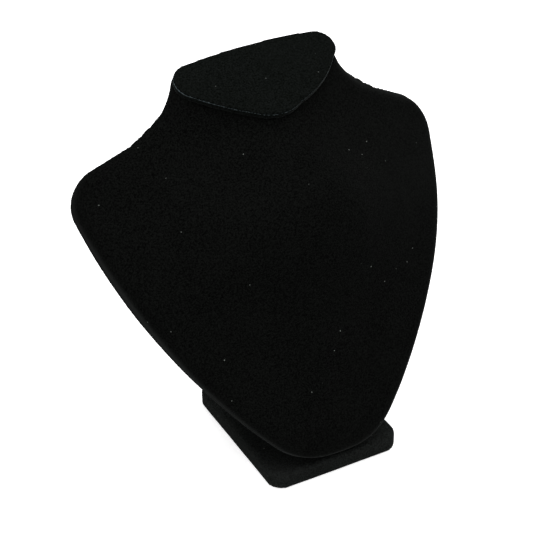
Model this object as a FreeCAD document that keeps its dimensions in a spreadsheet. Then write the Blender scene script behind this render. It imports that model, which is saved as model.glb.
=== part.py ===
import FreeCAD, Part
import math
import os
import Sketcher
from FreeCAD import Placement, Rotation, Vector

doc = FreeCAD.newDocument("necklaceStand")

# The driving sizes, in millimetres and degrees. The bust is drawn upright in its own frame
# (X across, Y up its back, Z forward), and then leans back on the foot.
sheet = doc.addObject("Spreadsheet::Sheet", "Sizes")
sizes = [
    ("leanAngle", 25.2, "lean of the bust's back from upright"),
    ("tipForward", 37.0, "tip of the bust, in front of the foot's middle"),
    ("tipClearance", 0.5, "gap between the foot and the tip of the bust"),
    ("bustHeight", 193.1, "tip to the top of the neck, up the back"),
    ("bustHalfWidth", 92.5, "middle to the widest part of a shoulder"),
    ("shoulderHeight", 137.5, "tip to the centre of the shoulder's curve"),
    ("shoulderRadius", 18.7, "curve at the end of a shoulder"),
    ("shoulderSlope", 21.9, "fall of the shoulder line from level"),
    ("sideRadius", 266.6, "long curve from shoulder to tip"),
    ("tipCornerRadius", 32.1, "curves at each side of the tip"),
    ("tipRadius", 125.9, "shallow curve under the tip"),
    ("tipHalfWidth", 7.7, "middle to where the tip's corner begins"),
    ("neckHalfWidth", 35.7, "middle to the narrowest part of the neck"),
    ("neckRadius", 45.0, "hollow curve from shoulder line to neck"),
    ("wingFlat", 24.0, "half width of the flat middle of the back"),
    ("wingRadius", 112.0, "curve that sweeps the shoulders back"),
    ("edgeRadius", 7.0, "rounding of the bust's front edge"),
    ("backEdgeRadius", 3.0, "rounding of the bust's back edge"),
    ("capSlope", 51.2, "slope of the neck's top, from square to the back"),
    ("capHalfWidth", 42.4, "middle to the widest part of the neck cap"),
    ("capReach", 40.4, "down the slope from the back to the neck cap's nose"),
    ("capCornerRadius", 11.0, "side corners of the neck cap"),
    ("capNoseRadius", 15.0, "nose of the neck cap"),
    ("capLip", 0.8, "how far the neck cap stands proud of the back"),
    ("capBoard", 2.4, "thickness of the board in the neck cap"),
    ("capRimRadius", 1.2, "rounding of the neck cap's rim"),
    ("velvet", 1.0, "velvet with its backing"),
    ("shellWall", 2.2, "moulded wall of the bust"),
    ("coverTurn", 9.0, "width of velvet turned on to the back"),
    ("panelThickness", 2.0, "board that closes the back"),
    ("panelGap", 0.3, "clearance round the back board and its velvet"),
    ("footWidth", 68.6, "foot, side to side"),
    ("footDepth", 83.3, "foot, front to back"),
    ("footThickness", 9.5, "foot with its velvet and underside pad"),
    ("footCornerRadius", 7.8, "corners of the foot seen from above"),
    ("footEdgeRadius", 2.0, "rounding of the foot's top edge"),
    ("footHem", 9.0, "width of velvet turned under the foot"),
    ("padThickness", 0.8, "underside pad below the turned velvet"),
    ("padMargin", 2.5, "velvet left showing round the underside pad"),
    ("blockWidth", 30.0, "wedge behind the bust, side to side"),
    ("blockStart", 8.0, "up the back to where the wedge begins"),
    ("blockReach", 80.0, "up the back to where the wedge ends"),
    ("blockTop", 13.0, "depth of the wedge at its top"),
    ("blockRear", 28.0, "heel of the wedge, behind the foot's middle"),
    ("screwRadius", 1.75, "shank of each wood screw"),
    ("screwHeadRadius", 3.5, "head of each wood screw"),
    ("screwHead", 2.0, "height of each screw head"),
    ("screwPoint", 4.0, "length of each screw's point"),
    ("footScrewLength", 25.0, "screws up through the foot, over all"),
    ("footScrewBack", 9.0, "middle of the two foot screws, behind the foot's middle"),
    ("footScrewPitch", 18.0, "distance between the foot screws"),
    ("backScrewLength", 15.0, "screws through the back board, over all"),
    ("backScrewHeight", 52.0, "middle of the two back screws, up the back"),
    ("backScrewPitch", 28.0, "distance between the back screws"),
    ("sideRoom", 17.5, "room beyond the shoulders in the drawings that are cut to the outline"),
    ("underreach", 200.0, "depth of those drawings behind the back"),
]
# Each cross-section of the chest and neck has two straight flanks that meet in a nose arc:
# its height up the back, the nose's depth, the nose's radius and the flanks' slope. The last
# one's height is counted from the top of the neck.
sections = [
    ("tip", 0.0, 11.0, 102.0, 11.0),
    ("belly", 45.0, 17.4, 96.0, 9.0),
    ("breast", 90.0, 29.7, 81.0, 20.8),
    ("shoulder", 125.0, 35.9, 52.0, 27.6),
    ("collar", 150.0, 23.7, 34.0, 21.8),
    ("throat", 170.0, 22.5, 24.0, 24.0),
    ("neck", 22.0, 19.0, 20.6, 26.0),
]
for name, level, depth, radius, flank in sections:
    sizes.append((name + "Level", level, "height of the section at the " + name))
    sizes.append((name + "Depth", depth, "depth of the section at the " + name))
    sizes.append((name + "Nose", radius, "nose radius of the section at the " + name))
    sizes.append((name + "Flank", flank, "flank slope of the section at the " + name))
for row, (alias, value, note) in enumerate(sizes, start=1):
    sheet.set(f"A{row}", note)
    sheet.set(f"B{row}", str(value))
    sheet.setAlias(f"B{row}", alias)
doc.recompute()


def size(alias):
    return float(sheet.get(alias))


# Half the width of the drawings that are cut to the outline
outreach = "(Sizes.bustHalfWidth + Sizes.sideRoom)"


def outreachSize():
    return size("bustHalfWidth") + size("sideRoom")


def bind(thing, **expressions):
    for path, expression in expressions.items():
        thing.setExpression(path.replace("_", "."), expression)


def bindPlace(thing, **expressions):
    for axis, expression in expressions.items():
        thing.setExpression("Placement.Base." + axis, expression)


def rule(sketch, *details, name=None, drive=None):
    index = sketch.addConstraint(Sketcher.Constraint(*details))
    if name:
        sketch.renameConstraint(index, name)
        sketch.setExpression("Constraints." + name, drive)


def join(sketch, corners):
    # Each line or arc ends where the next begins, round a closed outline
    for here, there in corners:
        rule(sketch, "Coincident", *here, *there)


# Insets: how far a surface lies inside the velvet's outer face, as sums of sheet values
skin = ["velvet"]
hollow = ["velvet", "shellWall"]
mouth = ["velvet", "shellWall", "panelGap"]
hem = ["coverTurn"]
inlay = ["coverTurn", "panelGap"]
behindPanel = ["velvet", "panelThickness"]


def total(inset):
    return sum(-size(term[1:]) if term[0] == "-" else size(term) for term in inset)


def less(inset):
    return "".join(" + Sizes." + term[1:] if term[0] == "-" else " - Sizes." + term for term in inset)


def more(inset):
    return "".join(" - Sizes." + term[1:] if term[0] == "-" else " + Sizes." + term for term in inset)


def heading(angle):
    # Unit vector square to the right of a path that runs at this angle
    return Vector(math.sin(angle), -math.cos(angle), 0)


def outline(name, inset):
    # Half of the bust's outline: tip, corner, side, shoulder, shoulder line, neck hollow, neck
    d = total(inset)
    tipR, cornerR, sideR = size("tipRadius"), size("tipCornerRadius"), size("sideRadius")
    shoulderR, neckR = size("shoulderRadius"), size("neckRadius")
    tip = Vector(0, tipR, 0)
    tipTurn = math.asin(size("tipHalfWidth") / tipR)
    corner = tip + heading(tipTurn) * (tipR - cornerR)
    shoulder = Vector(size("bustHalfWidth") - shoulderR, size("shoulderHeight"), 0)
    # The side's centre lies where circles about the two centres beside it cross
    span = shoulder - corner
    a, b = sideR - cornerR, sideR - shoulderR
    along = (a * a - b * b + span.Length ** 2) / (2 * span.Length)
    across = math.sqrt(a * a - along * along)
    ahead = span / span.Length
    side = corner + ahead * along + Vector(-ahead.y, ahead.x, 0) * across
    cornerTurn = math.atan2((corner - side).x, -(corner - side).y)
    sideTurn = math.atan2((shoulder - side).x, -(shoulder - side).y)
    lineTurn = math.pi - math.radians(size("shoulderSlope"))
    start = shoulder + heading(lineTurn) * (shoulderR - d)
    neckX = size("neckHalfWidth") + neckR
    run = (neckX - start.x - (neckR + d) * math.sin(lineTurn)) / math.cos(lineTurn)
    finish = start + Vector(math.cos(lineTurn), math.sin(lineTurn), 0) * run
    neck = finish + heading(lineTurn) * (neckR + d)
    top = size("bustHeight") + outreachSize()
    right = math.pi / 2

    sketch = doc.addObject("Sketcher::SketchObject", name)
    up = Vector(0, 0, 1)

    def arc(centre, radius, begin, end):
        sketch.addGeometry(Part.ArcOfCircle(Part.Circle(centre, up, radius), begin, end), False)

    arc(tip, tipR - d, -right, tipTurn - right)
    arc(corner, cornerR - d, tipTurn - right, cornerTurn - right)
    arc(side, sideR - d, cornerTurn - right, sideTurn - right)
    arc(shoulder, shoulderR - d, sideTurn - right, lineTurn - right)
    sketch.addGeometry(Part.LineSegment(start, finish), False)
    arc(neck, neckR + d, math.pi, lineTurn + right)
    neckSide = Vector(neck.x - neckR - d, neck.y, 0)
    neckTop = Vector(neckSide.x, top, 0)
    sketch.addGeometry(Part.LineSegment(neckSide, neckTop), False)
    sketch.addGeometry(Part.LineSegment(neckTop, Vector(0, top, 0)), False)
    sketch.addGeometry(Part.LineSegment(Vector(0, top, 0), Vector(0, d, 0)), False)
    for here, there in (((0, 2), (1, 1)), ((1, 2), (2, 1)), ((2, 2), (3, 1)), ((3, 2), (4, 1)),
                        ((4, 2), (5, 2)), ((5, 1), (6, 1))):
        rule(sketch, "Tangent", *here, *there)
    join(sketch, (((6, 2), (7, 1)), ((7, 2), (8, 1)), ((8, 2), (0, 1))))
    rule(sketch, "Vertical", 6)
    rule(sketch, "Horizontal", 7)
    rule(sketch, "PointOnObject", 0, 1, -2)
    rule(sketch, "PointOnObject", 0, 3, -2)
    rule(sketch, "PointOnObject", 7, 2, -2)
    rule(sketch, "DistanceY", -1, 1, 0, 3, tipR, name="tipCentre", drive="Sizes.tipRadius")
    rule(sketch, "Radius", 0, tipR - d, name="tip", drive="Sizes.tipRadius" + less(inset))
    rule(sketch, "DistanceX", -1, 1, 1, 3, corner.x, name="cornerCentre",
         drive="Sizes.tipHalfWidth * (1 - Sizes.tipCornerRadius / Sizes.tipRadius)")
    rule(sketch, "Radius", 1, cornerR - d, name="corner", drive="Sizes.tipCornerRadius" + less(inset))
    rule(sketch, "Radius", 2, sideR - d, name="side", drive="Sizes.sideRadius" + less(inset))
    rule(sketch, "Radius", 3, shoulderR - d, name="shoulder", drive="Sizes.shoulderRadius" + less(inset))
    rule(sketch, "DistanceX", -1, 1, 3, 3, shoulder.x, name="shoulderOut",
         drive="Sizes.bustHalfWidth - Sizes.shoulderRadius")
    rule(sketch, "DistanceY", -1, 1, 3, 3, shoulder.y, name="shoulderUp", drive="Sizes.shoulderHeight")
    rule(sketch, "Angle", 4, lineTurn, name="slope", drive="180 deg - Sizes.shoulderSlope * 1 deg")
    rule(sketch, "Radius", 5, neckR + d, name="neckHollow", drive="Sizes.neckRadius" + more(inset))
    rule(sketch, "DistanceX", -1, 1, 6, 1, neckSide.x, name="neckSide",
         drive="Sizes.neckHalfWidth" + less(inset))
    rule(sketch, "DistanceY", -1, 1, 6, 2, top, name="neckTop", drive="Sizes.bustHeight + " + outreach)
    return sketch


def outlineBlock(name, inset):
    half = doc.addObject("Part::Extrusion", name + "Half")
    half.Base = outline(name + "Outline", inset)
    half.DirMode = "Normal"
    half.Solid = True
    bind(half, LengthFwd=outreach, LengthRev="Sizes.underreach")
    other = doc.addObject("Part::Mirroring", name + "OtherHalf")
    other.Source = half
    other.Normal = Vector(1, 0, 0)
    both = doc.addObject("Part::MultiFuse", name + "Both")
    both.Shapes = [half, other]
    both.Refine = True
    return both


def section(name, station, inset):
    # Two flanks and a nose arc, closed well behind the back
    d = total(inset)
    depth, radius = size(station + "Depth"), size(station + "Nose")
    flank = math.radians(size(station + "Flank"))
    reach, under = outreachSize(), size("underreach")
    nose = Vector(0, depth - radius, 0)
    touch = Vector((radius - d) * math.sin(flank), nose.y + (radius - d) * math.cos(flank), 0)
    outer = Vector(reach, touch.y - (reach - touch.x) * math.tan(flank), 0)
    sketch = doc.addObject("Sketcher::SketchObject", name)
    level = f"Sizes.{station}Level"
    if station == "neck":
        level = "Sizes.bustHeight + Sizes.neckLevel"
    sketch.Placement = Placement(Vector(0, 0, 0), Rotation(Vector(1, 0, 0), 90))
    bindPlace(sketch, y=level)

    def flip(point):
        return Vector(-point.x, point.y, 0)

    right = math.pi / 2
    circle = Part.Circle(nose, Vector(0, 0, 1), radius - d)
    sketch.addGeometry(Part.LineSegment(flip(outer), flip(touch)), False)
    sketch.addGeometry(Part.ArcOfCircle(circle, right - flank, right + flank), False)
    sketch.addGeometry(Part.LineSegment(touch, outer), False)
    sketch.addGeometry(Part.LineSegment(outer, Vector(reach, -under, 0)), False)
    sketch.addGeometry(Part.LineSegment(Vector(reach, -under, 0), Vector(-reach, -under, 0)), False)
    sketch.addGeometry(Part.LineSegment(Vector(-reach, -under, 0), flip(outer)), False)
    rule(sketch, "Tangent", 0, 2, 1, 2)
    rule(sketch, "Tangent", 1, 1, 2, 1)
    join(sketch, (((2, 2), (3, 1)), ((3, 2), (4, 1)), ((4, 2), (5, 1)), ((5, 2), (0, 1))))
    rule(sketch, "Vertical", 3)
    rule(sketch, "Horizontal", 4)
    rule(sketch, "Vertical", 5)
    rule(sketch, "PointOnObject", 1, 3, -2)
    rule(sketch, "Symmetric", 0, 1, 2, 2, -2)
    rule(sketch, "DistanceX", 4, 2, 4, 1, 2 * reach, name="across", drive="2 * " + outreach)
    rule(sketch, "DistanceY", 4, 1, -1, 1, under, name="under", drive="Sizes.underreach")
    rule(sketch, "DistanceY", 4, 1, 1, 3, under + nose.y, name="noseCentre",
         drive=f"Sizes.underreach + Sizes.{station}Depth - Sizes.{station}Nose")
    rule(sketch, "Radius", 1, radius - d, name="nose", drive=f"Sizes.{station}Nose" + less(inset))
    rule(sketch, "Angle", 0, flank, name="flank", drive=f"Sizes.{station}Flank * 1 deg")
    return sketch


def crownBlock(name, inset):
    loft = doc.addObject("Part::Loft", name + "Crown")
    loft.Sections = [section(name + station[0].capitalize() + station[1:], station, inset)
                     for station, *rest in sections]
    loft.Solid = True
    loft.Ruled = False
    return loft


def backBlock(name, inset):
    # Everything in front of the back: a flat middle with two wings that sweep back on arcs
    d = total(inset)
    flat, radius = size("wingFlat"), size("wingRadius")
    reach = outreachSize()
    drop = math.sqrt((radius + d) ** 2 - (reach - flat) ** 2) - radius
    begin = math.asin((radius + drop) / (radius + d))
    sketch = doc.addObject("Sketcher::SketchObject", name + "BackLine")
    sketch.Placement = Placement(Vector(0, -reach, 0), Rotation(Vector(1, 0, 0), 90))
    bindPlace(sketch, y="-" + outreach)
    up = Vector(0, 0, 1)
    right = math.pi / 2
    rightWing = Part.Circle(Vector(flat, -radius, 0), up, radius + d)
    leftWing = Part.Circle(Vector(-flat, -radius, 0), up, radius + d)
    sketch.addGeometry(Part.ArcOfCircle(rightWing, begin, right), False)
    sketch.addGeometry(Part.LineSegment(Vector(flat, d, 0), Vector(-flat, d, 0)), False)
    sketch.addGeometry(Part.ArcOfCircle(leftWing, right, math.pi - begin), False)
    sketch.addGeometry(Part.LineSegment(Vector(-reach, drop, 0), Vector(-reach, reach, 0)), False)
    sketch.addGeometry(Part.LineSegment(Vector(-reach, reach, 0), Vector(reach, reach, 0)), False)
    sketch.addGeometry(Part.LineSegment(Vector(reach, reach, 0), Vector(reach, drop, 0)), False)
    rule(sketch, "Tangent", 0, 2, 1, 1)
    rule(sketch, "Tangent", 1, 2, 2, 1)
    join(sketch, (((2, 2), (3, 1)), ((3, 2), (4, 1)), ((4, 2), (5, 1)), ((5, 2), (0, 1))))
    rule(sketch, "Vertical", 3)
    rule(sketch, "Horizontal", 4)
    rule(sketch, "Vertical", 5)
    rule(sketch, "Symmetric", 0, 3, 2, 3, -2)
    rule(sketch, "Symmetric", 3, 1, 5, 2, -2)
    rule(sketch, "DistanceX", -1, 1, 0, 3, flat, name="flat", drive="Sizes.wingFlat")
    rule(sketch, "DistanceY", 0, 3, -1, 1, radius, name="wingCentre", drive="Sizes.wingRadius")
    rule(sketch, "Radius", 0, radius + d, name="wing", drive="Sizes.wingRadius" + more(inset))
    rule(sketch, "DistanceX", 4, 1, 4, 2, 2 * reach, name="across", drive="2 * " + outreach)
    rule(sketch, "DistanceY", -1, 1, 4, 1, reach, name="front", drive=outreach)
    block = doc.addObject("Part::Extrusion", name + "Front")
    block.Base = sketch
    block.DirMode = "Custom"
    block.Dir = Vector(0, 1, 0)
    block.Solid = True
    bind(block, LengthFwd="Sizes.bustHeight + 2 * " + outreach)
    return block


def common(name, *parts):
    meet = doc.addObject("Part::MultiCommon", name)
    meet.Shapes = list(parts)
    return meet


def cut(name, base, tool):
    difference = doc.addObject("Part::Cut", name)
    difference.Base = base
    difference.Tool = tool
    return difference


def perimeter(shape, forward):
    # The edges where the outline's wall meets the front, or else the back, below the top end
    picked = []
    for index, edge in enumerate(shape.Edges, start=1):
        if edge.BoundBox.YMin > size("bustHeight") + size("neckLevel") - 1:
            continue
        middle = edge.valueAt((edge.FirstParameter + edge.LastParameter) / 2)
        leans = [face.normalAt(*face.Surface.parameter(middle)).z
                 for face in shape.ancestorsOfType(edge, Part.Face)]
        walls = [lean for lean in leans if abs(lean) < 1e-6]
        others = [lean for lean in leans if abs(lean) >= 1e-6]
        if len(walls) == 1 and len(others) == 1 and (others[0] > 0) == forward:
            picked.append(index)
    return picked


def rounding(name, base, radius, pick):
    # The edges are picked on the finished base, so it is worked out first
    doc.recompute()
    fillet = doc.addObject("Part::Fillet", name)
    fillet.Base = base
    fillet.Edges = [(index, radius, radius) for index in pick(base.Shape)]
    return fillet


def frontEdges(shape):
    return perimeter(shape, True)


def backEdges(shape):
    return perimeter(shape, False)


def frontForm(name, inset):
    # The outline's block with its crown and rounded front edge, left deep behind
    raw = common(name + "Crowned", outlineBlock(name, inset), crownBlock(name, inset))
    return rounding(name + "FrontForm", raw, size("edgeRadius") - total(inset), frontEdges)


def form(name, inset):
    # The whole bust, this far inside the velvet's outer face: a front with a rounded edge,
    # and a rear with a rounded edge
    front = frontForm(name, inset)
    rear = common(name + "Backed", doc.getObject(name + "Both"), backBlock(name, inset))
    rounded = rounding(name + "RearForm", rear, size("backEdgeRadius") - total(inset), backEdges)
    return common(name + "Form", front, rounded)


def topFace(shape):
    # The edges round the face that looks most nearly along the neck's slanted top
    slope = math.radians(size("capSlope"))
    normal = Vector(0, math.cos(slope), math.sin(slope))
    top = max(shape.Faces, key=lambda face: face.CenterOfMass.dot(normal))
    rim = [edge.hashCode() for edge in top.Edges]
    return [index for index, edge in enumerate(shape.Edges, start=1) if edge.hashCode() in rim]


def capPlate(name, inset, drop, height):
    # A board cut to the neck's rounded triangle, square to the slanted top
    d = total(inset)
    corner, nose = size("capCornerRadius"), size("capNoseRadius")
    side = Vector(size("capHalfWidth") - corner, size("capLip") - corner, 0)
    front = Vector(0, nose - size("capReach"), 0)
    span = front - side
    swing = math.acos((corner - nose) / span.Length)
    turn = math.atan2(span.y, span.x) + swing
    sketch = doc.addObject("Sketcher::SketchObject", name + "Outline")
    sketch.Placement = Placement(Vector(0, 0, 0), Rotation(Vector(-1, 0, 0), 90 - size("capSlope")))
    sketch.setExpression("Placement.Rotation.Angle", "90 - Sizes.capSlope")
    slope = "(Sizes.capSlope * 1 deg)"
    lowered = "(0" + "".join(" + Sizes." + term for term in drop) + ")"
    bindPlace(sketch, y=f"Sizes.bustHeight - cos{slope} * {lowered}", z=f"-sin{slope} * {lowered}")
    up = Vector(0, 0, 1)
    right = math.pi / 2
    flipped = Vector(-side.x, side.y, 0)
    out = Vector(math.cos(turn), math.sin(turn), 0)
    outLeft = Vector(-out.x, out.y, 0)

    def arc(centre, radius, begin, end):
        sketch.addGeometry(Part.ArcOfCircle(Part.Circle(centre, up, radius), begin, end), False)

    sketch.addGeometry(Part.LineSegment(flipped + Vector(0, corner - d, 0),
                                        side + Vector(0, corner - d, 0)), False)
    arc(side, corner - d, turn, right)
    sketch.addGeometry(Part.LineSegment(side + out * (corner - d), front + out * (nose - d)), False)
    arc(front, nose - d, math.pi - turn, turn)
    sketch.addGeometry(Part.LineSegment(front + outLeft * (nose - d),
                                        flipped + outLeft * (corner - d)), False)
    arc(flipped, corner - d, right, math.pi - turn)
    for here, there in (((0, 2), (1, 2)), ((1, 1), (2, 1)), ((2, 2), (3, 2)), ((3, 1), (4, 1)),
                        ((4, 2), (5, 2)), ((5, 1), (0, 1))):
        rule(sketch, "Tangent", *here, *there)
    rule(sketch, "PointOnObject", 3, 3, -2)
    rule(sketch, "Symmetric", 1, 3, 5, 3, -2)
    rule(sketch, "Equal", 1, 5)
    rule(sketch, "DistanceX", 5, 3, 1, 3, 2 * side.x, name="across",
         drive="2 * (Sizes.capHalfWidth - Sizes.capCornerRadius)")
    rule(sketch, "DistanceY", 1, 3, -1, 1, -side.y, name="back",
         drive="Sizes.capCornerRadius - Sizes.capLip")
    rule(sketch, "DistanceY", 3, 3, -1, 1, -front.y, name="front",
         drive="Sizes.capReach - Sizes.capNoseRadius")
    rule(sketch, "Radius", 1, corner - d, name="corner", drive="Sizes.capCornerRadius" + less(inset))
    rule(sketch, "Radius", 3, nose - d, name="nose", drive="Sizes.capNoseRadius" + less(inset))
    board = doc.addObject("Part::Extrusion", name)
    board.Base = sketch
    board.DirMode = "Normal"
    board.Solid = True
    bind(board, LengthFwd=height)
    return board


def neckSlab(name, drop, height):
    # A slab on the neck's slanted top plane, lowered by the drop
    slab = doc.addObject("Part::Box", name)
    slab.Placement = Placement(Vector(0, 0, 0), Rotation(Vector(-1, 0, 0), 90 - size("capSlope")))
    slope = "(Sizes.capSlope * 1 deg)"
    lowered = "(0" + "".join(" + Sizes." + term for term in drop) + ")"
    bind(slab, Length="2 * " + outreach, Width="2 * " + outreach, Height=height)
    bindPlace(slab, x="-" + outreach,
              y=f"Sizes.bustHeight - sin{slope} * {outreach} - cos{slope} * {lowered}",
              z=f"cos{slope} * {outreach} - sin{slope} * {lowered}")
    slab.setExpression("Placement.Rotation.Angle", "90 - Sizes.capSlope")
    return slab


def leanBack(piece):
    # Stand a piece of the bust on the foot, leaning back
    piece.Placement = Placement(Vector(0, 0, 0), Rotation(Vector(1, 0, 0), 90 - size("leanAngle")))
    piece.setExpression("Placement.Rotation.Angle", "90 - Sizes.leanAngle")
    bindPlace(piece, y="-Sizes.tipForward", z="Sizes.footThickness + Sizes.tipClearance")
    return piece


def plate(name, inset, bottom, top, edge=None):
    # A rounded rectangle, this far inside the foot's outline, with an optional rounded top edge
    body = doc.addObject("PartDesign::Body", name)
    bindPlace(body, z=bottom)
    d = total(inset)
    halfWide, halfDeep = size("footWidth") / 2 - d, size("footDepth") / 2 - d
    radius = max(size("footCornerRadius") - d, size("velvet") / 2)
    sketch = body.newObject("Sketcher::SketchObject", name + "Outline")
    sketch.AttachmentSupport = (plane(body, "XY_Plane"), [""])
    sketch.MapMode = "FlatFace"
    inX, inY = halfWide - radius, halfDeep - radius
    corners = ((inX, -inY, -90), (inX, inY, 0), (-inX, inY, 90), (-inX, -inY, 180))
    for x, y, begin in corners:
        circle = Part.Circle(Vector(x, y, 0), Vector(0, 0, 1), radius)
        begin = math.radians(begin)
        sketch.addGeometry(Part.ArcOfCircle(circle, begin, begin + math.pi / 2), False)
    arcs = [sketch.Geometry[index] for index in range(4)]
    for here, there in ((0, 1), (1, 2), (2, 3), (3, 0)):
        sketch.addGeometry(Part.LineSegment(arcs[here].EndPoint, arcs[there].StartPoint), False)
    for here, there in ((0, 1), (1, 2), (2, 3), (3, 0)):
        rule(sketch, "Tangent", here, 2, here + 4, 1)
        rule(sketch, "Tangent", here + 4, 2, there, 1)
        if here:
            rule(sketch, "Equal", 0, here)
    rule(sketch, "Vertical", 4)
    rule(sketch, "Horizontal", 5)
    rule(sketch, "Vertical", 6)
    rule(sketch, "Horizontal", 7)
    rule(sketch, "Symmetric", 0, 3, 2, 3, -1, 1)
    rule(sketch, "DistanceX", 6, 1, 4, 1, 2 * halfWide, name="across",
         drive="Sizes.footWidth - 2 * (0" + more(inset) + ")")
    rule(sketch, "DistanceY", 7, 1, 5, 1, 2 * halfDeep, name="deep",
         drive="Sizes.footDepth - 2 * (0" + more(inset) + ")")
    rule(sketch, "Radius", 0, radius, name="corner",
         drive="max(Sizes.footCornerRadius - (0" + more(inset) + "); Sizes.velvet / 2)")
    pad = body.newObject("PartDesign::Pad", name + "Pad")
    pad.Profile = sketch
    pad.setExpression("Length", f"({top}) - ({bottom})")
    doc.recompute()
    if edge:
        fillet = body.newObject("PartDesign::Fillet", name + "Edge")
        rim = [f"Edge{index}" for index, line in enumerate(pad.Shape.Edges, start=1)
               if line.BoundBox.ZMin > pad.Shape.BoundBox.ZMax - 1e-6]
        fillet.Base = (pad, rim)
        fillet.setExpression("Radius", edge)
    return body


def plane(body, role):
    return next(item for item in body.Origin.OriginFeatures if item.Role == role)


def wedge(name, grow):
    # Side view of the block that holds the lean, with its velvet's thickness grown on or not
    body = doc.addObject("PartDesign::Body", name)
    sketch = body.newObject("Sketcher::SketchObject", name + "Side")
    sketch.AttachmentSupport = (plane(body, "YZ_Plane"), [""])
    sketch.MapMode = "FlatFace"
    lean = math.radians(size("leanAngle"))
    skinned = size("velvet") if grow else 0.0
    up = Vector(math.sin(lean), math.cos(lean), 0)
    rearward = Vector(math.cos(lean), -math.sin(lean), 0)
    tip = Vector(-size("tipForward"), size("footThickness") + size("tipClearance"), 0)
    low = tip + up * (size("blockStart") - skinned / math.sin(lean))
    high = tip + up * (size("blockReach") + skinned)
    top = high + rearward * (size("blockTop") + skinned)
    heel = Vector(size("blockRear") + skinned, size("footThickness"), 0)
    toe = Vector(low.x, heel.y, 0)
    corners = (toe, heel, top, high, low)
    for here, there in zip(corners, corners[1:] + corners[:1]):
        sketch.addGeometry(Part.LineSegment(here, there), False)
    sketch.addGeometry(Part.LineSegment(tip, low), True)
    join(sketch, (((0, 2), (1, 1)), ((1, 2), (2, 1)), ((2, 2), (3, 1)), ((3, 2), (4, 1)),
                  ((4, 2), (0, 1)), ((5, 2), (4, 1))))
    growth = "Sizes.velvet" if grow else "0"
    rule(sketch, "Horizontal", 0)
    rule(sketch, "Vertical", 4)
    rule(sketch, "Perpendicular", 2, 3)
    rule(sketch, "Parallel", 3, 5)
    rule(sketch, "DistanceX", 5, 1, -1, 1, -tip.x, name="tipForward", drive="Sizes.tipForward")
    rule(sketch, "DistanceY", -1, 1, 5, 1, tip.y, name="tipUp",
         drive="Sizes.footThickness + Sizes.tipClearance")
    rule(sketch, "Angle", 5, math.pi / 2 - lean, name="lean", drive="90 deg - Sizes.leanAngle * 1 deg")
    rule(sketch, "Distance", 5, (low - tip).Length, name="start",
         drive=f"Sizes.blockStart - {growth} / sin(Sizes.leanAngle * 1 deg)")
    rule(sketch, "Distance", 3, (high - low).Length, name="reach",
         drive=f"Sizes.blockReach - Sizes.blockStart + {growth} + {growth} / sin(Sizes.leanAngle * 1 deg)")
    rule(sketch, "Distance", 2, (top - high).Length, name="top", drive=f"Sizes.blockTop + {growth}")
    rule(sketch, "DistanceX", -1, 1, 1, 1, heel.x, name="heel", drive=f"Sizes.blockRear + {growth}")
    rule(sketch, "DistanceY", -1, 1, 1, 1, heel.y, name="seat", drive="Sizes.footThickness")
    pad = body.newObject("PartDesign::Pad", name + "Pad")
    pad.Profile = sketch
    pad.Midplane = True
    pad.setExpression("Length", f"Sizes.blockWidth + 2 * {growth}")
    return body


def screw(name, sunk, length):
    # A wood screw about Z, with its seat at zero: a sunk head fills a countersink, and a pan
    # head stands above the seat
    body = doc.addObject("PartDesign::Body", name)
    sketch = body.newObject("Sketcher::SketchObject", name + "Profile")
    sketch.AttachmentSupport = (plane(body, "XZ_Plane"), [""])
    sketch.MapMode = "FlatFace"
    shank, wide = size("screwRadius"), size("screwHeadRadius")
    head, point, long = size("screwHead"), size("screwPoint"), size(length)
    if sunk:
        corners = [(0, 0), (wide, 0), (shank, head), (shank, long - point), (0, long)]
    else:
        corners = [(0, -head), (wide, -head), (wide, 0), (shank, 0), (shank, long - point), (0, long)]
    corners = [Vector(x, y, 0) for x, y in corners]
    last = len(corners) - 1
    for here, there in zip(corners, corners[1:] + corners[:1]):
        sketch.addGeometry(Part.LineSegment(here, there), False)
    join(sketch, [((index, 2), ((index + 1) % (last + 1), 1)) for index in range(last + 1)])
    rule(sketch, "Vertical", last)
    rule(sketch, "PointOnObject", last, 1, -2)
    rule(sketch, "Horizontal", 0)
    rule(sketch, "Vertical", last - 2)
    rule(sketch, "DistanceX", -1, 1, 1, 1, wide, name="head", drive="Sizes.screwHeadRadius")
    rule(sketch, "DistanceX", -1, 1, last - 2, 1, shank, name="shank", drive="Sizes.screwRadius")
    rule(sketch, "DistanceY", -1, 1, last, 1, long, name="tip", drive="Sizes." + length)
    rule(sketch, "DistanceY", last - 2, 2, last, 1, point, name="point", drive="Sizes.screwPoint")
    if sunk:
        rule(sketch, "PointOnObject", 0, 1, -1)
        rule(sketch, "DistanceY", -1, 1, 2, 1, head, name="sink", drive="Sizes.screwHead")
    else:
        rule(sketch, "Vertical", 1)
        rule(sketch, "Horizontal", 2)
        rule(sketch, "PointOnObject", 3, 1, -1)
        rule(sketch, "DistanceY", 0, 1, -1, 1, head, name="stand", drive="Sizes.screwHead")
    turn = body.newObject("PartDesign::Revolution", name + "Turn")
    turn.Profile = sketch
    turn.ReferenceAxis = (sketch, ["V_Axis"])
    turn.Angle = 360
    return body


def group(name, *members):
    bundle = doc.addObject("Part::Compound", name)
    bundle.Links = list(members)
    return bundle


nodes = {}


def finish(piece, node):
    piece.Label = node
    nodes[node] = piece


capDrop = ["velvet", "capBoard"]
capDepth = "Sizes.velvet + Sizes.capBoard"
aboveNeck = neckSlab("aboveNeck", capDrop, outreach)
behindSkin = backBlock("skinBack", skin)

# The velvet over the chest: the outer form less the shell's form, open behind inside its turned edge
outer = form("outer", [])
shellForm = form("shell", skin)
hemOpening = cut("hemOpening", outlineBlock("hem", hem), behindSkin)
skinWrap = cut("skinWrap", cut("skinLayer", outer, shellForm), hemOpening)
finish(leanBack(cut("bustCover", skinWrap, aboveNeck)), "bust_cover")

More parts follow.
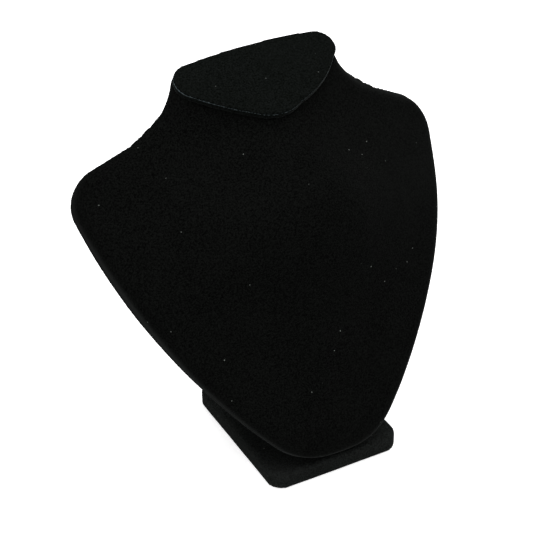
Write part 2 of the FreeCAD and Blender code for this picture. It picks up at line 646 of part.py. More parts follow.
# The moulded shell, open at the back and at the neck
shellWalls = cut("shellWalls", shellForm, frontForm("hollow", hollow))
finish(leanBack(cut("bustShell", shellWalls, aboveNeck)), "bust_shell")

# The back board, bent to the wings inside the shell's mouth
mouthBlock = common("mouthBlock", outlineBlock("mouth", mouth), crownBlock("mouth", mouth), behindSkin)
panelSheet = cut("panelSheet", mouthBlock, backBlock("panel", behindPanel))
panel = cut("panelTrimmed", panelSheet, aboveNeck)

# The velvet on the back board, let in between the turned edges
inlayBlock = common("inlayBlock", outlineBlock("inlay", inlay), backBlock("inlay", []))
inlaySheet = cut("inlaySheet", inlayBlock, behindSkin)
inlayTrimmed = cut("inlayTrimmed", inlaySheet, aboveNeck)

# Two pan-head screws through the back board, driven from the front before the shell went on
backScrews = []
for sign, side in ((1, "Upper"), (-1, "Lower")):
    piece = screw("backScrew" + side, False, "backScrewLength")
    piece.Placement = Placement(Vector(0, 0, 0), Rotation(Vector(1, 0, 0), 180))
    bindPlace(piece, y=f"Sizes.backScrewHeight + {sign} * Sizes.backScrewPitch / 2",
              z="Sizes.velvet + Sizes.panelThickness")
    backScrews.append(piece)
backScrewPair = leanBack(group("backScrews", *backScrews))
finish(backScrewPair, "back_screws")
flatScrewPair = group("backScrewsUpright", *backScrews)
finish(leanBack(cut("backPanel", panel, flatScrewPair)), "back_panel")
finish(leanBack(cut("backCover", inlayTrimmed, flatScrewPair)), "back_cover")

# The neck cap: a board in velvet that stands a little proud of the neck all round
capBlock = capPlate("capBlock", [], capDrop, capDepth)
capRounded = rounding("capRounded", capBlock, size("capRimRadius"), topFace)
capBoard = capPlate("capBoard", skin, capDrop, "Sizes.capBoard")
finish(leanBack(cut("capCover", capRounded, capBoard)), "neck_cap_cover")
finish(leanBack(group("capBoardAlone", capBoard)), "neck_cap")

# The foot: a board in velvet that is turned under it, and a pad that covers the underside
footTop = "Sizes.footThickness - Sizes.velvet"
hemTop = "Sizes.padThickness + Sizes.velvet"
boardPlate = plate("footBoard", skin, hemTop, footTop, "Sizes.footEdgeRadius - Sizes.velvet")
coverPlate = plate("footCover", [], "Sizes.padThickness", "Sizes.footThickness", "Sizes.footEdgeRadius")
hemPlate = plate("footHemOpening", ["footHem"], "Sizes.padThickness", hemTop)
padPlate = plate("footPad", ["padMargin"], "0", "Sizes.padThickness")
padMiddle = plate("footPadMiddle", ["footHem", "panelGap"], "Sizes.padThickness", hemTop)
footScrews = []
for sign, side in ((1, "Rear"), (-1, "Front")):
    piece = screw("footScrew" + side, True, "footScrewLength")
    bindPlace(piece, y=f"Sizes.footScrewBack + {sign} * Sizes.footScrewPitch / 2", z=hemTop)
    footScrews.append(piece)
footScrewPair = group("footScrews", *footScrews)
finish(footScrewPair, "base_screws")
finish(cut("footBoardDrilled", boardPlate, footScrewPair), "base_board")
footShell = cut("footShell", cut("footSkin", coverPlate, boardPlate), hemPlate)
finish(cut("footCoverDrilled", footShell, footScrewPair), "base_cover")
pad = doc.addObject("Part::MultiFuse", "footPadFused")
pad.Shapes = [padPlate, padMiddle]
finish(pad, "base_pad")

# The wedge between the foot and the back, in its own velvet
blockBody = wedge("block", False)
blockWrap = wedge("blockWrap", True)
blockDrilled = cut("blockDrilled", blockBody, footScrewPair)
finish(cut("supportBlock", blockDrilled, backScrewPair), "support_block")
finish(cut("supportCover", blockWrap, blockBody), "support_cover")

doc.recompute()
failed = [thing.Name for thing in doc.Objects
          if "Invalid" in thing.State or "Error" in thing.State]
if failed:
    raise RuntimeError("these failed: " + ", ".join(failed))
for node, piece in nodes.items():
    if piece.Shape.isNull() or not piece.Shape.isValid() or not piece.Shape.Solids:
        raise RuntimeError(node + " has no sound solid")

os.makedirs("parts", exist_ok=True)
for node, piece in nodes.items():
    piece.Shape.exportStep(f"parts/{node}.step")
    print(node, len(piece.Shape.Solids), "solid,", round(piece.Shape.Volume), "mm3")
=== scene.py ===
import math

import bpy
from mathutils import Matrix, Vector
from mathutils.bvhtree import BVHTree


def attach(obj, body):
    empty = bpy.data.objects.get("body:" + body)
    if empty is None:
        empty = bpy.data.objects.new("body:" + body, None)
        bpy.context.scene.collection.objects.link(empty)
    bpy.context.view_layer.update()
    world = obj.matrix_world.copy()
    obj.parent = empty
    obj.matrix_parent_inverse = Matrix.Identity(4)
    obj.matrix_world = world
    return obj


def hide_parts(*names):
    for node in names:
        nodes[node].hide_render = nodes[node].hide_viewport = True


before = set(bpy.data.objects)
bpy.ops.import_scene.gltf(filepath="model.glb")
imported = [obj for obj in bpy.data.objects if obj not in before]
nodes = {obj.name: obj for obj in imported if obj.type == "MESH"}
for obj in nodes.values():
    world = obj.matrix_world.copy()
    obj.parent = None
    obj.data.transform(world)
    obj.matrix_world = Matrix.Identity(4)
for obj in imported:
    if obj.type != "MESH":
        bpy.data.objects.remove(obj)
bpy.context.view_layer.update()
mm = 0.001

# how the bust stands on the foot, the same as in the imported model, in degrees and mm
stance = {
    "lean": 25.2,
    "tipForward": 37.0,
    "tipHeight": 10.0,
    "bustHeight": 193.1,
    "capSlope": 51.2,
}
leanAngle = math.radians(stance["lean"])
upBack = Vector((0, math.sin(leanAngle), math.cos(leanAngle)))
outFront = Vector((0, -math.cos(leanAngle), math.sin(leanAngle)))
capAngle = math.radians(stance["capSlope"])
capNormal = upBack * math.cos(capAngle) + outFront * math.sin(capAngle)
capDown = outFront * math.cos(capAngle) - upBack * math.sin(capAngle)
bustOrigin = Vector((0, -stance["tipForward"], stance["tipHeight"])) * mm
capOrigin = bustOrigin + upBack * stance["bustHeight"] * mm

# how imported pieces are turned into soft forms
meshWork = {
    "weld": 0.002,           # mm
    "plugScale": 0.86,       # so that a plug lies inside the walls that it closes
    "softness": 0.5,
    "hemPasses": 12,
    "smoothAngle": 40.0,     # degrees
    "bevelAngle": 50.0,
}


def linear(hexText):
    # sRGB hex to the linear numbers that the shader sockets take
    parts = [int(hexText[i:i + 2], 16) / 255 for i in (1, 3, 5)]
    return tuple(p / 12.92 if p <= 0.04045 else ((p + 0.055) / 1.055) ** 2.4 for p in parts) + (1.0,)


def addNode(tree, kind, place, settings=None, links=None):
    node = tree.nodes.new(kind)
    node.location = place
    for name, value in (settings or {}).items():
        if name in node.inputs:
            node.inputs[name].default_value = value
        else:
            setattr(node, name, value)
    for name, source in (links or {}).items():
        tree.links.new(source, node.inputs[name])
    return node


def pickNothing():
    bpy.ops.object.select_all(action="DESELECT")


def pickOnly(piece):
    pickNothing()
    piece.select_set(True)
    bpy.context.view_layer.objects.active = piece


def pickFaces(piece, wanted):
    # leaves the piece in edit mode, with the wanted faces selected
    pickOnly(piece)
    bpy.ops.object.mode_set(mode="EDIT")
    bpy.ops.mesh.select_mode(type="FACE")
    bpy.ops.mesh.select_all(action="DESELECT")
    bpy.ops.object.mode_set(mode="OBJECT")
    for face in piece.data.polygons:
        face.select = wanted(face)
    bpy.ops.object.mode_set(mode="EDIT")


def pickEdges(piece, wanted):
    # the same for edges, which are asked about by their two ends
    pickOnly(piece)
    bpy.ops.object.mode_set(mode="EDIT")
    bpy.ops.mesh.select_mode(type="EDGE")
    bpy.ops.mesh.select_all(action="DESELECT")
    bpy.ops.object.mode_set(mode="OBJECT")
    points = piece.data.vertices
    for edge in piece.data.edges:
        edge.select = wanted(points[edge.vertices[0]].co, points[edge.vertices[1]].co)
    bpy.ops.object.mode_set(mode="EDIT")


def applyModifier(piece, kind, **settings):
    pickOnly(piece)
    modifier = piece.modifiers.new(kind.title(), kind)
    for name, value in settings.items():
        setattr(modifier, name, value)
    bpy.ops.object.modifier_apply(modifier=modifier.name)


def mergedCopy(node, name):
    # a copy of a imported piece, with its loose triangles welded together
    piece = bpy.data.objects.new(name, nodes[node].data.copy())
    bpy.context.scene.collection.objects.link(piece)
    piece.data.materials.clear()
    pickOnly(piece)
    bpy.ops.object.mode_set(mode="EDIT")
    bpy.ops.mesh.select_all(action="SELECT")
    bpy.ops.mesh.remove_doubles(threshold=meshWork["weld"] * mm)
    bpy.ops.object.mode_set(mode="OBJECT")
    return piece


def softForm(name, solids, voxel, smoothing, plug=None):
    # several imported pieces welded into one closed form, with the hard edges taken off
    copies = [mergedCopy(solid, name) for solid in solids]
    if plug:
        stopper = mergedCopy(plug, name)
        bpy.ops.object.mode_set(mode="EDIT")
        bpy.ops.mesh.select_all(action="SELECT")
        bpy.ops.transform.resize(value=(meshWork["plugScale"],) * 3)
        bpy.ops.object.mode_set(mode="OBJECT")
        copies.append(stopper)
    pickNothing()
    for piece in copies:
        piece.select_set(True)
    form = copies[0]
    bpy.context.view_layer.objects.active = form
    if len(copies) > 1:
        bpy.ops.object.join()
    applyModifier(form, "REMESH", mode="VOXEL", voxel_size=voxel * mm)
    pickOnly(form)
    bpy.ops.object.mode_set(mode="EDIT")
    bpy.ops.mesh.select_all(action="SELECT")
    bpy.ops.mesh.separate(type="LOOSE")
    bpy.ops.object.mode_set(mode="OBJECT")
    shells = sorted(bpy.context.selected_objects, key=lambda shell: shell.dimensions.length)
    form = shells.pop()
    for inner in shells:
        bpy.data.objects.remove(inner)
    form.name = name
    applyModifier(form, "SMOOTH", factor=meshWork["softness"], iterations=smoothing)
    return form


def keepSkin(form, node, reach):
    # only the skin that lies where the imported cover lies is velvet, and its cut edge is trimmed fair
    cover = nodes[node].data
    guide = BVHTree.FromPolygons([v.co for v in cover.vertices], [p.vertices[:] for p in cover.polygons])
    pickFaces(form, lambda face: guide.find_nearest(face.center)[3] > reach * mm)
    bpy.ops.mesh.delete(type="FACE")
    bpy.ops.mesh.select_mode(type="VERT")
    bpy.ops.mesh.select_all(action="DESELECT")
    bpy.ops.mesh.select_non_manifold(extend=False, use_boundary=True, use_wire=False,
                                     use_multi_face=False, use_non_contiguous=False, use_verts=False)
    bpy.ops.mesh.vertices_smooth(factor=meshWork["softness"], repeat=meshWork["hemPasses"])
    bpy.ops.object.mode_set(mode="OBJECT")


def smoothStep(low, high, value):
    t = min(1.0, max(0.0, (value - low) / (high - low)))
    return t * t * (3 - 2 * t)


# where the velvet is filled out: rise up the back and drop below the cap in mm, each as where a change
# begins and ends, and facing from -1 at the back to 1 at the front
fillZones = {
    "turnBegins": (-0.98, -0.7),
    "turnEnds": (-0.3, 0.15),
    "hollowBegins": (150, 159),
    "hollowEnds": (163, 174),
    "capReach": (3.0, 8.0),
    "evened": (152, 183),
    "evenPasses": 4,
}


def fillOut(piece, cloth):
    # the velvet stands fuller where it turns round the back edge, most of all in the hollow of the neck,
    # and its top is drawn up into the cap
    headings = [point.normal.copy() for point in piece.data.vertices]
    for point, heading in zip(piece.data.vertices, headings):
        rise = (point.co - bustOrigin).dot(upBack) / mm
        drop = (capOrigin - point.co).dot(capNormal) / mm
        facing = heading.dot(outFront)
        outward = (heading - outFront * facing).normalized()
        turned = (smoothStep(*fillZones["turnBegins"], facing)
                  * (1 - smoothStep(*fillZones["turnEnds"], facing)))
        hollow = (smoothStep(*fillZones["hollowBegins"], rise)
                  * (1 - smoothStep(*fillZones["hollowEnds"], rise)) * abs(outward.x))
        nearCap = 1 - smoothStep(*fillZones["capReach"], drop)
        full = (cloth["edgeFill"] * (1 - nearCap) + cloth["hollowFill"] * hollow) * turned
        point.co += (outward * full + upBack * cloth["drawUp"] * nearCap) * mm
    low, high = fillZones["evened"]
    pickFaces(piece, lambda face: low < (face.center - bustOrigin).dot(upBack) / mm < high)
    bpy.ops.mesh.vertices_smooth(factor=meshWork["softness"], repeat=fillZones["evenPasses"])
    bpy.ops.object.mode_set(mode="OBJECT")


def layCloth(piece, cloth):
    # stretched velvet is never quite even: slow swells, then the thickness of cloth and pile
    swell = bpy.data.textures.new(piece.name + "Swell", "CLOUDS")
    swell.noise_scale = cloth["swellSize"] * mm
    applyModifier(piece, "DISPLACE", texture=swell, strength=cloth["swell"] * mm, mid_level=0.5)
    applyModifier(piece, "SOLIDIFY", thickness=cloth["thickness"] * mm, offset=-1.0)
    pickOnly(piece)
    bpy.ops.object.shade_smooth()


def dress(piece, material, hides=()):
    piece.data.materials.clear()
    piece.data.materials.append(material)
    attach(piece, "root")
    if hides:
        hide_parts(*hides)


# velvet: short black cotton pile on a woven back, so it drinks light face on and greys at grazing angles
velvetLook = {
    "pile": "#030303",
    "pileLight": "#0e0f0e",
    "lint": "#626662",
    "pileSize": 0.75,        # mm, tufts drawn a little coarser than real so that they show
    "pileRange": (0.34, 0.66),
    "pileDepth": 0.9,
    "brushedPatch": 22.0,    # mm, areas where the pile lies another way
    "patchRange": (0.35, 0.68),
    "patchDepth": 0.1,
    "sheen": 0.075,
    "sheenSpread": 0.32,
    "sheenTint": "#c9cfcc",
    "bump": 0.25,
    "bumpDepth": 0.3,        # mm
    "lintSpacing": 7.0,      # mm between possible lint specks
    "lintShare": 0.42,
    "lintRadius": 0.27,      # mm
}


def makeVelvet(name, look):
    material = bpy.data.materials.new(name)
    material.use_nodes = True
    tree = material.node_tree
    tree.nodes.clear()
    coords = addNode(tree, "ShaderNodeTexCoord", (-1400, 0))
    tufts = addNode(tree, "ShaderNodeTexNoise", (-1100, 200),
                    {"Scale": 1 / (look["pileSize"] * mm), "Detail": 2.0, "Roughness": 0.6},
                    {"Vector": coords.outputs["Object"]})
    patches = addNode(tree, "ShaderNodeTexNoise", (-1100, -50),
                      {"Scale": 1 / (look["brushedPatch"] * mm), "Detail": 3.0, "Roughness": 0.55},
                      {"Vector": coords.outputs["Object"]})
    tuftShade = addNode(tree, "ShaderNodeMapRange", (-880, 200),
                        {"From Min": look["pileRange"][0], "From Max": look["pileRange"][1],
                         "To Min": 0.0, "To Max": look["pileDepth"]},
                        {"Value": tufts.outputs["Fac"]})
    patchShade = addNode(tree, "ShaderNodeMapRange", (-880, -50),
                         {"From Min": look["patchRange"][0], "From Max": look["patchRange"][1],
                          "To Min": 0.0, "To Max": look["patchDepth"]},
                         {"Value": patches.outputs["Fac"]})
    both = addNode(tree, "ShaderNodeMath", (-680, 100), {"operation": "ADD", "use_clamp": True})
    tree.links.new(tuftShade.outputs["Result"], both.inputs[0])
    tree.links.new(patchShade.outputs["Result"], both.inputs[1])
    pile = addNode(tree, "ShaderNodeMix", (-480, 150), {"data_type": "RGBA"})
    pile.inputs[6].default_value = linear(look["pile"])
    pile.inputs[7].default_value = linear(look["pileLight"])
    tree.links.new(both.outputs[0], pile.inputs[0])
    cells = addNode(tree, "ShaderNodeTexVoronoi", (-1100, -350),
                    {"Scale": 1 / (look["lintSpacing"] * mm)},
                    {"Vector": coords.outputs["Object"]})
    chosen = addNode(tree, "ShaderNodeSeparateColor", (-880, -420), {}, {"Color": cells.outputs["Color"]})
    rare = addNode(tree, "ShaderNodeMath", (-680, -420), {"operation": "LESS_THAN"})
    rare.inputs[1].default_value = look["lintShare"]
    tree.links.new(chosen.outputs[0], rare.inputs[0])
    near = addNode(tree, "ShaderNodeMapRange", (-680, -250),
                   {"From Min": look["lintRadius"] / look["lintSpacing"] * 0.6,
                    "From Max": look["lintRadius"] / look["lintSpacing"] * 1.3,
                    "To Min": 1.0, "To Max": 0.0}, {"Value": cells.outputs["Distance"]})
    speck = addNode(tree, "ShaderNodeMath", (-480, -300), {"operation": "MULTIPLY"})
    tree.links.new(near.outputs["Result"], speck.inputs[0])
    tree.links.new(rare.outputs[0], speck.inputs[1])
    withLint = addNode(tree, "ShaderNodeMix", (-260, 50), {"data_type": "RGBA"})
    withLint.inputs[7].default_value = linear(look["lint"])
    tree.links.new(speck.outputs[0], withLint.inputs[0])
    tree.links.new(pile.outputs[2], withLint.inputs[6])
    bump = addNode(tree, "ShaderNodeBump", (-260, -150),
                   {"Strength": look["bump"], "Distance": look["bumpDepth"] * mm},
                   {"Height": tufts.outputs["Fac"]})
    shader = addNode(tree, "ShaderNodeBsdfPrincipled", (0, 0),
                     {"Roughness": 0.95, "Specular IOR Level": 0.0, "IOR": 1.5,
                      "Sheen Weight": look["sheen"], "Sheen Roughness": look["sheenSpread"],
                      "Sheen Tint": linear(look["sheenTint"])},
                     {"Base Color": withLint.outputs[2], "Normal": bump.outputs["Normal"]})
    addNode(tree, "ShaderNodeOutputMaterial", (280, 0), {}, {"Surface": shader.outputs["BSDF"]})
    return material


# plain finishes of what the velvet hides, and of the underside
plainLooks = {
    "shell_plastic": {"name": "mouldedBlackPolystyrene", "dark": "#161616", "light": "#1e1e1e",
                      "grain": 0.8, "stretch": 1.0, "roughness": 0.5, "metal": 0.0},
    "board": {"name": "pressedWoodFibreboard", "dark": "#6e5338", "light": "#9a7a55",
              "grain": 1.2, "stretch": 6.0, "roughness": 0.8, "metal": 0.0},
    "pad": {"name": "blackWoolFelt", "dark": "#0d0d0d", "light": "#242424",
            "grain": 0.5, "stretch": 1.0, "roughness": 0.95, "metal": 0.0},
    "steel": {"name": "zincPlatedSteel", "dark": "#8d8f91", "light": "#b4b6b8",
              "grain": 0.4, "stretch": 1.0, "roughness": 0.35, "metal": 1.0},
}


def makePlain(look):
    material = bpy.data.materials.new(look["name"])
    material.use_nodes = True
    tree = material.node_tree
    tree.nodes.clear()
    coords = addNode(tree, "ShaderNodeTexCoord", (-1000, 0))
    along = addNode(tree, "ShaderNodeMapping", (-820, 0), {"Scale": (1.0, 1.0 / look["stretch"], 1.0)},
                    {"Vector": coords.outputs["Object"]})
    grain = addNode(tree, "ShaderNodeTexNoise", (-620, 0),
                    {"Scale": 1 / (look["grain"] * mm), "Detail": 3.0, "Roughness": 0.6},
                    {"Vector": along.outputs["Vector"]})
    colour = addNode(tree, "ShaderNodeMix", (-400, 80), {"data_type": "RGBA"})
    colour.inputs[6].default_value = linear(look["dark"])
    colour.inputs[7].default_value = linear(look["light"])
    tree.links.new(grain.outputs["Fac"], colour.inputs[0])
    bump = addNode(tree, "ShaderNodeBump", (-400, -150), {"Strength": 0.15, "Distance": 0.1 * mm},
                   {"Height": grain.outputs["Fac"]})
    shader = addNode(tree, "ShaderNodeBsdfPrincipled", (-150, 0),
                     {"Roughness": look["roughness"], "Metallic": look["metal"]},
                     {"Base Color": colour.outputs[2], "Normal": bump.outputs["Normal"]})
    addNode(tree, "ShaderNodeOutputMaterial", (150, 0), {}, {"Surface": shader.outputs["BSDF"]})
    return material


velvet = makeVelvet("blackCottonVelvet", velvetLook)
# the cap's velvet is a slightly lighter copy of the same velvet: painted light for its top, which faces the
# overhead lamp; its lint specks are real
capVelvet = makeVelvet("blackVelvetPaintedLighterCap", dict(velvetLook, pile="#030403", pileLight="#101211",
                                                  lintShare=0.45, lintSpacing=6.0, lint="#444644"))
# the foot's velvet is a lighter copy of the same velvet: painted light for its upward face under the
# overhead lamp, which the bust shades; its added lint specks are real
footVelvetPaintedLighter = makeVelvet("blackVelvetPaintedLighterFoot", dict(velvetLook, pile="#0a0b0a", pileLight="#1f2120",
                                               lintShare=0.5, lintSpacing=5.0, lint="#50524f"))
# a pale copy of the velvet for the bead round the cap's rim: a painted highlight
paintedRimHighlight = makeVelvet("velvetRimPaintedHighlight", dict(velvetLook, pile="#2c3335", pileLight="#4a5254", sheen=0.05))
plain = {name: makePlain(look) for name, look in plainLooks.items()}
insides = {"bust_shell": "shell_plastic", "back_panel": "board", "base_board": "board",
           "support_block": "board", "base_screws": "steel", "back_screws": "steel"}
for node, finish in insides.items():
    nodes[node].data.materials.clear()
    nodes[node].data.materials.append(plain[finish])
print("materials made")

# the velvet over the chest and neck
bustCloth = {"voxel": 1.15, "smoothing": 3, "reach": 2.0, "swell": 0.35, "swellSize": 26.0, "thickness": 1.0,
             "neckCut": 3.7, "drawUp": 1.6, "edgeFill": 0.55, "hollowFill": 5.6,
             "cut": (0.225, 0.245), "share": 0.65}
bustVelvet = softForm("bustVelvet", ["bust_cover", "bust_shell", "back_panel", "back_cover"],
                      bustCloth["voxel"], bustCloth["smoothing"], plug="neck_cap")
pickOnly(bustVelvet)
bpy.ops.object.mode_set(mode="EDIT")
bpy.ops.mesh.select_all(action="SELECT")
bpy.ops.mesh.bisect(plane_co=capOrigin - capNormal * bustCloth["neckCut"] * mm, plane_no=capNormal,
                    clear_outer=True)
bpy.ops.object.mode_set(mode="OBJECT")
keepSkin(bustVelvet, "bust_cover", bustCloth["reach"])
fillOut(bustVelvet, bustCloth)
layCloth(bustVelvet, bustCloth)
dress(bustVelvet, velvet, ["bust_cover"])
print("bust velvet", len(bustVelvet.data.polygons))

# the velvet let in on the back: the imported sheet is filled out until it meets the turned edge
backCloth = {"fill": 0.2, "edge": 0.4, "cut": (0.17, 0.175), "share": 0.68}
backVelvet = mergedCopy("back_cover", "backVelvet")
applyModifier(backVelvet, "DISPLACE", strength=backCloth["fill"] * mm, mid_level=0.0)
applyModifier(backVelvet, "BEVEL", width=backCloth["edge"] * mm, segments=3, limit_method="ANGLE",
              angle_limit=math.radians(meshWork["bevelAngle"]))
pickOnly(backVelvet)
bpy.ops.object.shade_smooth_by_angle(angle=math.radians(meshWork["smoothAngle"]))
dress(backVelvet, velvet, ["back_cover"])

# the velvet-covered neck cap: three round corners with bowed sides, a little full in the middle
capCloth = {"corners": [(-30.7, 11.7, 9.9), (-1.0, 20.0, 20.0), (33.4, 7.6, 9.2)], "bows": [0.8, 2.6, 1.5],
            "thick": 3.4, "voxel": 0.6, "smoothing": 4, "crown": 0.5, "crownReach": 32.0,
            "crownMiddle": (16, 1.0), "arcSteps": 12, "sideSteps": 10, "cut": (0.095, 0.06), "share": 0.49}


def capRing(cloth, inset, sink):
    # across the neck and down its slope, in mm: each corner's arc, then the side to the next corner
    corners = cloth["corners"]
    turns = []
    for here, there in zip(corners, corners[1:] + corners[:1]):
        run = Vector((there[0] - here[0], there[1] - here[1]))
        turns.append(math.atan2(run.y, run.x) + math.acos((here[2] - there[2]) / run.length))
    flat = []
    for index, (across, down, radius) in enumerate(corners):
        begin, end = turns[index - 1], turns[index]
        while end > begin:
            end -= 2 * math.pi
        for step in range(cloth["arcSteps"] + 1):
            angle = begin + (end - begin) * step / cloth["arcSteps"]
            flat.append(Vector((across + (radius - inset) * math.cos(angle),
                                down + (radius - inset) * math.sin(angle))))
        nextAcross, nextDown, nextRadius = corners[(index + 1) % 3]
        out = Vector((math.cos(end), math.sin(end)))
        leave = flat[-1]
        arrive = Vector((nextAcross, nextDown)) + out * (nextRadius - inset)
        for step in range(1, cloth["sideSteps"]):
            share = step / cloth["sideSteps"]
            flat.append(leave.lerp(arrive, share) + out * cloth["bows"][index] * 4 * share * (1 - share))
    return [capOrigin + (Vector((spot.x, 0, 0)) + capDown * spot.y - capNormal * sink) * mm for spot in flat]


plate = bpy.data.meshes.new("capVelvet")
ring = capRing(capCloth, 0.0, 0.0)
plate.from_pydata(ring, [], [range(len(ring))])
capPiece = bpy.data.objects.new("capVelvet", plate)
bpy.context.scene.collection.objects.link(capPiece)
pickOnly(capPiece)
bpy.ops.object.mode_set(mode="EDIT")
bpy.ops.mesh.select_all(action="SELECT")
bpy.ops.mesh.extrude_region_move(TRANSFORM_OT_translate={"value": -capNormal * capCloth["thick"] * mm})
bpy.ops.mesh.select_all(action="SELECT")
bpy.ops.mesh.normals_make_consistent(inside=False)
bpy.ops.object.mode_set(mode="OBJECT")
applyModifier(capPiece, "REMESH", mode="VOXEL", voxel_size=capCloth["voxel"] * mm)
applyModifier(capPiece, "SMOOTH", factor=meshWork["softness"], iterations=capCloth["smoothing"])
crownDown, crownSink = capCloth["crownMiddle"]
middle = capOrigin + (capDown * crownDown - capNormal * crownSink) * mm
for point in capPiece.data.vertices:
    away = (point.co - middle) / (capCloth["crownReach"] * mm)
    if (point.co - middle).dot(capNormal) > 0:
        point.co += capNormal * capCloth["crown"] * mm * max(0.0, 1 - away.length_squared)
pickOnly(capPiece)
bpy.ops.object.shade_smooth()
dress(capPiece, capVelvet, ["neck_cap_cover", "neck_cap"])

# a thin pale bead round the cap's rim: a painted highlight standing in for the light that the rounded velvet
# edge catches
capRim = {"inset": 0.35, "sink": 0.8, "thick": 0.36}
line = bpy.data.curves.new("capRim", "CURVE")
line.dimensions = "3D"
line.bevel_depth = capRim["thick"] * mm
line.bevel_resolution = 2
line.resolution_u = 1
highlightSpline = line.splines.new("POLY")
rimPath = capRing(capCloth, capRim["inset"], capRim["sink"])
highlightSpline.points.add(len(rimPath) - 1)
for spot, place in zip(highlightSpline.points, rimPath):
    spot.co = (*place, 1)
highlightSpline.use_cyclic_u = True
rim = bpy.data.objects.new("capRim", line)
bpy.context.scene.collection.objects.link(rim)
pickOnly(rim)
bpy.ops.object.convert(target="MESH")
bpy.ops.object.shade_smooth()
dress(rim, paintedRimHighlight)
print("neck cap dressed")

# the velvet wrapped over the foot and turned under it
footCloth = {"width": 69.2, "depth": 83.7, "bottom": 0.8, "top": 9.6, "corner": 7.8, "edge": 2.1,
             "cornerSteps": 10, "edgeSteps": 5, "reach": 0.6,
             "voxel": 0.9, "smoothing": 3, "swell": 0.25, "swellSize": 16.0, "thickness": 1.0,
             "cut": (0.105, 0.12), "share": 0.83}
pickNothing()
bpy.ops.mesh.primitive_cube_add(size=1, location=(0, 0, (footCloth["top"] + footCloth["bottom"]) / 2 * mm))
footVelvet = bpy.context.object
footVelvet.name = "footVelvet"
bpy.ops.object.mode_set(mode="EDIT")
bpy.ops.mesh.select_all(action="SELECT")
bpy.ops.transform.resize(value=(footCloth["width"] * mm, footCloth["depth"] * mm,
                                (footCloth["top"] - footCloth["bottom"]) * mm))
bpy.ops.object.mode_set(mode="OBJECT")
pickEdges(footVelvet, lambda a, b: abs(a.z - b.z) > mm)
bpy.ops.mesh.bevel(offset=footCloth["corner"] * mm, segments=footCloth["cornerSteps"], affect="EDGES")
bpy.ops.object.mode_set(mode="OBJECT")
pickEdges(footVelvet, lambda a, b: min(a.z, b.z) > 0)
bpy.ops.mesh.bevel(offset=footCloth["edge"] * mm, segments=footCloth["edgeSteps"], affect="EDGES")
bpy.ops.object.mode_set(mode="OBJECT")
bpy.ops.object.transform_apply(location=True, rotation=True, scale=True)
applyModifier(footVelvet, "REMESH", mode="VOXEL", voxel_size=footCloth["voxel"] * mm)
applyModifier(footVelvet, "SMOOTH", factor=meshWork["softness"], iterations=footCloth["smoothing"])
keepSkin(footVelvet, "base_cover", footCloth["reach"])
layCloth(footVelvet, footCloth)
dress(footVelvet, footVelvetPaintedLighter, ["base_cover"])
print("foot dressed")

# the velvet wrapped round the wedge
wedgeCloth = {"voxel": 1.0, "smoothing": 4, "reach": 1.6, "swell": 0.3, "swellSize": 18.0, "thickness": 0.9,
              "press": 0.9, "pressFades": (9.5, 11.5), "cut": (0.125, 0.13), "share": 0.56}
wedgeVelvet = softForm("wedgeVelvet", ["support_cover", "support_block"],
                       wedgeCloth["voxel"], wedgeCloth["smoothing"])
keepSkin(wedgeVelvet, "support_cover", wedgeCloth["reach"])
for point in wedgeVelvet.data.vertices:
    # pressed into the foot's pile
    point.co.z -= wedgeCloth["press"] * mm * (1 - smoothStep(*wedgeCloth["pressFades"], point.co.z / mm))
layCloth(wedgeVelvet, wedgeCloth)
dress(wedgeVelvet, velvet, ["support_cover"])

# the felt under the foot
feltPad = {"edge": 0.3, "cut": (0.0636, 0.0783), "share": 0.97}
felt = mergedCopy("base_pad", "footFelt")
applyModifier(felt, "BEVEL", width=feltPad["edge"] * mm, segments=3, limit_method="ANGLE",
              angle_limit=math.radians(meshWork["bevelAngle"]))
pickOnly(felt)
bpy.ops.object.shade_smooth_by_angle(angle=math.radians(meshWork["smoothAngle"]))
dress(felt, plain["pad"], ["base_pad"])
print("wedge and underside dressed")

# camera
view = {
    "azimuth": -27.514,
    "elevation": 31.703,
    "distance": 650.0,
    "roll": -1.057,
    "aim": (-14.958, 0.0, 96.574),
    "focalPixels": 1416.0,
    "imagePixels": 533,
    "sensor": 36,
}


def placeCamera(view):
    azimuth, elevation = math.radians(view["azimuth"]), math.radians(view["elevation"])
    roll = math.radians(view["roll"])
    back = Vector((math.sin(azimuth) * math.cos(elevation), -math.cos(azimuth) * math.cos(elevation),
                   math.sin(elevation)))
    right = Vector((math.cos(azimuth), math.sin(azimuth), 0))
    up = back.cross(right)
    across = right * math.cos(roll) + up * math.sin(roll)
    upward = up * math.cos(roll) - right * math.sin(roll)
    lens = bpy.data.cameras.new("productLens")
    lens.sensor_width = view["sensor"]
    lens.lens = view["sensor"] * view["focalPixels"] / view["imagePixels"]
    lens.clip_start = 0.01
    lens.clip_end = 50
    camera = bpy.data.objects.new("productCamera", lens)
    bpy.context.scene.collection.objects.link(camera)
    turn = Matrix((across, upward, back)).transposed().to_4x4()
    camera.matrix_world = Matrix.Translation(Vector(view["aim"]) * mm + back * view["distance"] * mm) @ turn
    bpy.context.scene.camera = camera


placeCamera(view)

lamps = {
    "overheadSoftbox": {"place": (0.0, -0.15, 0.95), "aim": (0, 0, 0.1), "size": 0.9, "power": 9.0},
    "rearRightStrip": {"place": (0.75, 0.45, 0.45), "aim": (0, 0, 0.1), "size": 0.5, "power": 4.0},
    "frontLeftFill": {"place": (-0.8, -0.7, 0.5), "aim": (0, 0, 0.1), "size": 0.8, "power": 3.0},
}
for name, lamp in lamps.items():
    light = bpy.data.lights.new(name, "AREA")
    light.energy = lamp["power"]
    light.size = lamp["size"]
    holder = bpy.data.objects.new(name, light)
    bpy.context.scene.collection.objects.link(holder)
    holder.location = lamp["place"]
    holder.rotation_euler = (Vector(lamp["aim"]) - Vector(lamp["place"])).to_track_quat("-Z", "Y").to_euler()



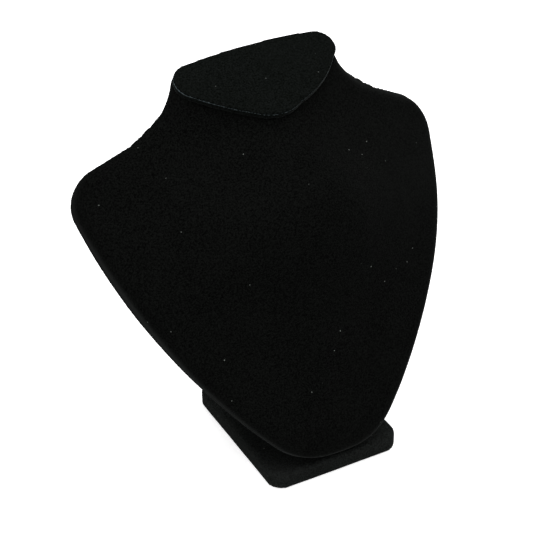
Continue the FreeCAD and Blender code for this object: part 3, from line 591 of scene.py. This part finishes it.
def seenDirectly(tree):
    # 1 for a ray from the camera, off gloss or through glass, 0 for one that only lights the scene
    path = addNode(tree, "ShaderNodeLightPath", (-900, 200))
    total = path.outputs["Is Camera Ray"]
    for step, kind in enumerate(("Is Glossy Ray", "Is Transmission Ray")):
        larger = addNode(tree, "ShaderNodeMath", (-700 + 200 * step, 250), {"operation": "MAXIMUM"})
        tree.links.new(total, larger.inputs[0])
        tree.links.new(path.outputs[kind], larger.inputs[1])
        total = larger.outputs[0]
    return total


# a pale table: white to the camera in the open, with the foot's shadow left on it
tableLook = {"size": 2.4, "cuts": 7, "colour": "#e6e6e6", "lift": 0.66}
pickNothing()
bpy.ops.mesh.primitive_plane_add(size=tableLook["size"], location=(0, 0, 0))
table = bpy.context.object
table.name = "paleTable"
bpy.ops.object.mode_set(mode="EDIT")
bpy.ops.mesh.subdivide(number_cuts=tableLook["cuts"])
bpy.ops.object.mode_set(mode="OBJECT")
paper = bpy.data.materials.new("whitePaperSweep")
paper.use_nodes = True
tree = paper.node_tree
tree.nodes.clear()
lift = addNode(tree, "ShaderNodeMath", (-300, 250), {"operation": "MULTIPLY"})
lift.inputs[1].default_value = tableLook["lift"]
tree.links.new(seenDirectly(tree), lift.inputs[0])
glow = addNode(tree, "ShaderNodeEmission", (-100, 200), {"Color": (1, 1, 1, 1)},
               {"Strength": lift.outputs[0]})
matt = addNode(tree, "ShaderNodeBsdfDiffuse", (-100, 0), {"Color": linear(tableLook["colour"])})
summed = addNode(tree, "ShaderNodeAddShader", (100, 100))
tree.links.new(glow.outputs[0], summed.inputs[0])
tree.links.new(matt.outputs[0], summed.inputs[1])
addNode(tree, "ShaderNodeOutputMaterial", (300, 100), {}, {"Surface": summed.outputs[0]})
table.data.materials.append(paper)

# a white studio round it, at a plain level on the velvet
studioLook = {"seen": 1.0, "lighting": 0.55}
world = bpy.data.worlds.new("whiteStudio")
bpy.context.scene.world = world
world.use_nodes = True
tree = world.node_tree
tree.nodes.clear()
seen = addNode(tree, "ShaderNodeBackground", (-200, 100),
               {"Color": (1, 1, 1, 1), "Strength": studioLook["seen"]})
lit = addNode(tree, "ShaderNodeBackground", (-200, -100),
              {"Color": (1, 1, 1, 1), "Strength": studioLook["lighting"]})
mixed = addNode(tree, "ShaderNodeMixShader", (0, 0))
tree.links.new(seenDirectly(tree), mixed.inputs[0])
tree.links.new(lit.outputs[0], mixed.inputs[1])
tree.links.new(seen.outputs[0], mixed.inputs[2])
addNode(tree, "ShaderNodeOutputWorld", (200, 0), {}, {"Surface": mixed.outputs[0]})
print("studio made")

bpy.context.scene.view_settings.view_transform = "Standard"
